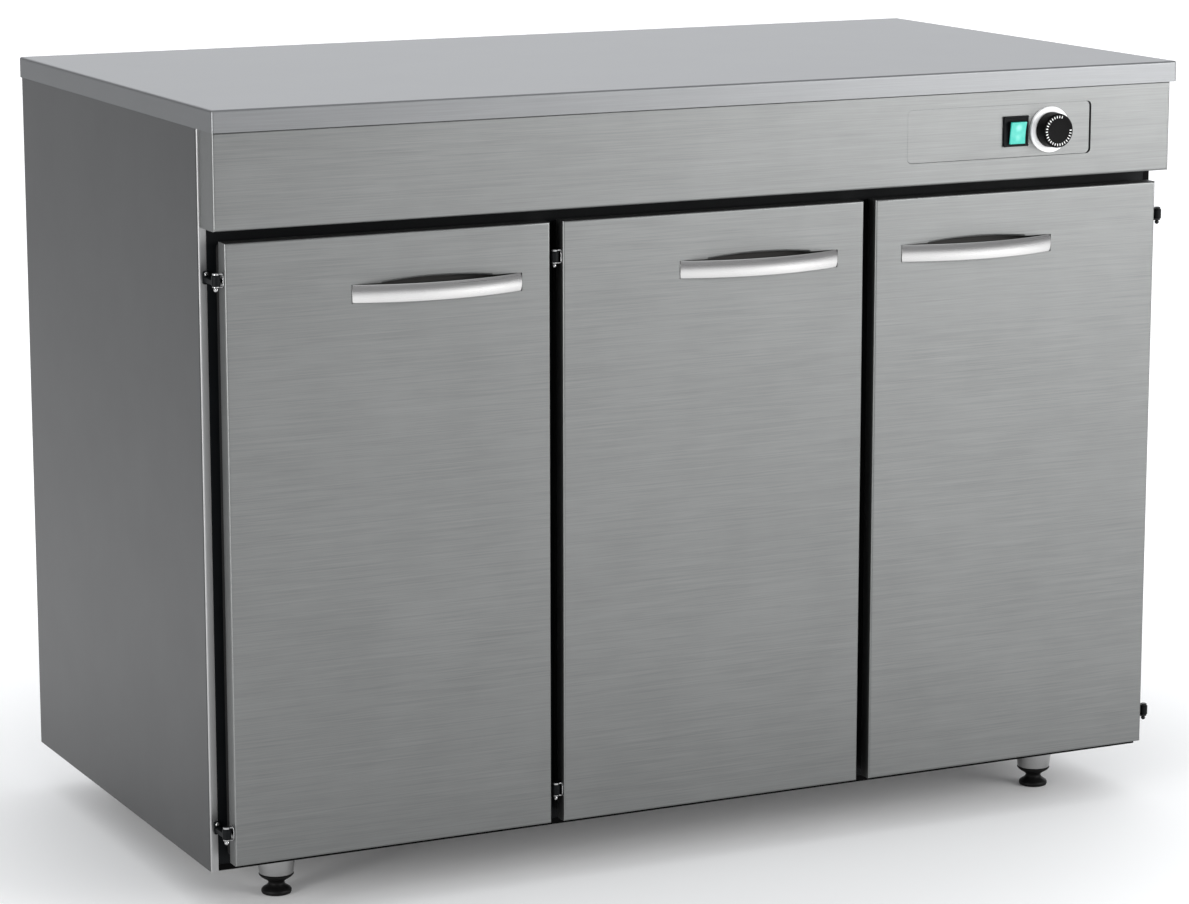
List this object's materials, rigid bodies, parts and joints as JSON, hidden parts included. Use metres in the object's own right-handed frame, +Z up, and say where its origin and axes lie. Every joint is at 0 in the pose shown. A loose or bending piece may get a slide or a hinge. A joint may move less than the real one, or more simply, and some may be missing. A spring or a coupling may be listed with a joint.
{
  "type": "blanket warming cabinet",
  "caption": "Free-standing heated stainless-steel cupboard with a worktop, hinged doors with bow handles, a lit rocker switch, a thermostat dial and levelling feet.",
  "frame": {"origin": "on the floor under the middle of the bounding box", "axes": "+X along the worktop to the cabinet's right as seen from the front, +Y from front to back, +Z up"},
  "size_m": [1.2, 0.6604, 0.894],
  "materials": {
    "steel_top": "fine grain along the length",
    "steel_side": "brushed upright",
    "steel_front": "brushed level",
    "steel_inner": "mill finish",
    "steel_handle": "satin polished",
    "chrome": "bright plated",
    "frame_black": "satin moulded",
    "foot_black": "satin moulded",
    "knob_black": "semi-gloss moulded",
    "gasket_black": "soft seal",
    "bezel_white": "gloss moulded",
    "lens_lit": "lit translucent",
    "heater_steel": "oxidised tube"
  },
  "bodies": {
    "cabinet": {"worktop": "steel_top", "side_panel_left": "steel_side", "side_panel_right": "steel_side", "front_apron": "steel_front", "control_plate": "steel_front", "base_panel": "steel_inner", "back_panel": "steel_inner", "liner_roof": "steel_inner", "partition_left": "steel_inner", "partition_right": "steel_inner", "shelf_left": "steel_inner", "shelf_middle": "steel_inner", "shelf_right": "steel_inner", "heater_guard_left": "steel_inner", "heater_guard_middle": "steel_inner", "heater_guard_right": "steel_inner", "foot_socket_front_left": "chrome", "foot_socket_front_right": "chrome", "foot_socket_rear_left": "chrome", "foot_socket_rear_right": "chrome", "front_frame": "frame_black", "hinge_arm_left_lower": "frame_black", "hinge_arm_left_upper": "frame_black", "hinge_arm_middle_lower": "frame_black", "hinge_arm_middle_upper": "frame_black", "hinge_arm_right_lower": "frame_black", "hinge_arm_right_upper": "frame_black", "switch_housing": "frame_black", "thermostat": "frame_black", "cable_gland": "frame_black", "dial_bezel": "bezel_white", "heater_left": "heater_steel", "heater_middle": "heater_steel", "heater_right": "heater_steel"},
    "dial": {"thermostat_knob": "knob_black", "thermostat_spindle": "chrome"},
    "rocker": {"switch_rocker": "lens_lit"},
    "door_left": {"door_skin_left": "steel_front", "door_inner_left": "steel_inner", "door_gasket_left": "gasket_black", "door_handle_left": "steel_handle", "hinge_fork_left_lower": "chrome", "hinge_fork_left_upper": "chrome"},
    "door_middle": {"door_skin_middle": "steel_front", "door_inner_middle": "steel_inner", "door_gasket_middle": "gasket_black", "door_handle_middle": "steel_handle", "hinge_fork_middle_lower": "chrome", "hinge_fork_middle_upper": "chrome"},
    "door_right": {"door_skin_right": "steel_front", "door_inner_right": "steel_inner", "door_gasket_right": "gasket_black", "door_handle_right": "steel_handle", "hinge_fork_right_lower": "chrome", "hinge_fork_right_upper": "chrome"},
    "foot_front_left": {"levelling_foot_front_left": "foot_black"},
    "foot_front_right": {"levelling_foot_front_right": "foot_black"},
    "foot_rear_left": {"levelling_foot_rear_left": "foot_black"},
    "foot_rear_right": {"levelling_foot_rear_right": "foot_black"}
  },
  "joints": [
    {"name": "door_left_hinge", "type": "hinge", "parent": "cabinet", "child": "door_left", "pos_m": [-0.59115, -0.29775, 0.4108], "axis": [0, 0, -1], "range_deg": [0, 110]},
    {"name": "door_middle_hinge", "type": "hinge", "parent": "cabinet", "child": "door_middle", "pos_m": [-0.19705, -0.29775, 0.4108], "axis": [0, 0, -1], "range_deg": [0, 90]},
    {"name": "door_right_hinge", "type": "hinge", "parent": "cabinet", "child": "door_right", "pos_m": [0.59115, -0.29775, 0.4108], "axis": [0, 0, 1], "range_deg": [0, 110]},
    {"name": "dial_turn", "type": "hinge", "parent": "cabinet", "child": "dial", "pos_m": [0.431, -0.3097, 0.8216], "axis": [0, 1, 0], "range_deg": [0, 270]},
    {"name": "rocker_tilt", "type": "hinge", "parent": "cabinet", "child": "rocker", "pos_m": [0.385, -0.3057, 0.8216], "axis": [1, 0, 0], "range_deg": [-16, 0]},
    {"name": "foot_front_left_screw", "type": "slide", "parent": "cabinet", "child": "foot_front_left", "axis": [0, 0, -1], "range_m": [0, 0.018]},
    {"name": "foot_front_right_screw", "type": "slide", "parent": "cabinet", "child": "foot_front_right", "axis": [0, 0, -1], "range_m": [0, 0.018]},
    {"name": "foot_rear_left_screw", "type": "slide", "parent": "cabinet", "child": "foot_rear_left", "axis": [0, 0, -1], "range_m": [0, 0.018]},
    {"name": "foot_rear_right_screw", "type": "slide", "parent": "cabinet", "child": "foot_rear_right", "axis": [0, 0, -1], "range_m": [0, 0.018]}
  ]
}
